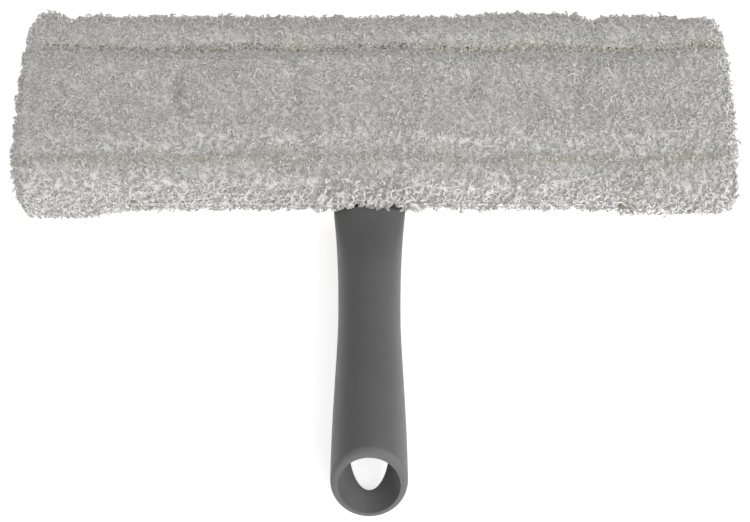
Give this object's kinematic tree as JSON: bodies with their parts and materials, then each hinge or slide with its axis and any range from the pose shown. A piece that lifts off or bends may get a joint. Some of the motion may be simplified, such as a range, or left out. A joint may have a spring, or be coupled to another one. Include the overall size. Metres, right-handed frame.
{
  "type": "window washer",
  "caption": "T-shaped window washer: a plush sleeve drawn over a moulded crossbar, on a hollow handle with a slanting open mouth and a hanging hole.",
  "frame": {"origin": "middle of the footprint, on the surface that the part lies on", "axes": "+Z out of the front face of the head, X along the head, the handle reaches towards -Y"},
  "size_m": [0.346, 0.2476, 0.043],
  "materials": {
    "grip_plastic": "satin",
    "bar_plastic": "matte",
    "screw_steel": "satin",
    "plush": "matte",
    "piping": "matte",
    "binding": "matte",
    "hook": "matte",
    "loop": "matte"
  },
  "bodies": {
    "frame": {"handle_grip": "grip_plastic", "crossbar": "bar_plastic", "neck_screws": "screw_steel"},
    "sleeve": {"front_panel": "plush", "back_panel": "plush", "top_strip": "plush", "front_lip": "plush", "back_lip": "plush", "left_gusset": "plush", "right_front_gusset": "plush", "right_back_gusset": "plush", "left_end_panel": "plush", "far_front_seam": "piping", "far_back_seam": "piping", "near_front_seam": "piping", "near_back_seam": "piping", "front_slit_binding": "binding", "back_slit_binding": "binding", "front_mouth_binding": "binding", "back_mouth_binding": "binding", "hook_tape": "hook", "loop_tape": "loop"}
  },
  "joints": [
    {"name": "sleeve_slide", "type": "slide", "parent": "frame", "child": "sleeve", "axis": [-1, 0, 0], "range_m": [0, 0.36]}
  ]
}
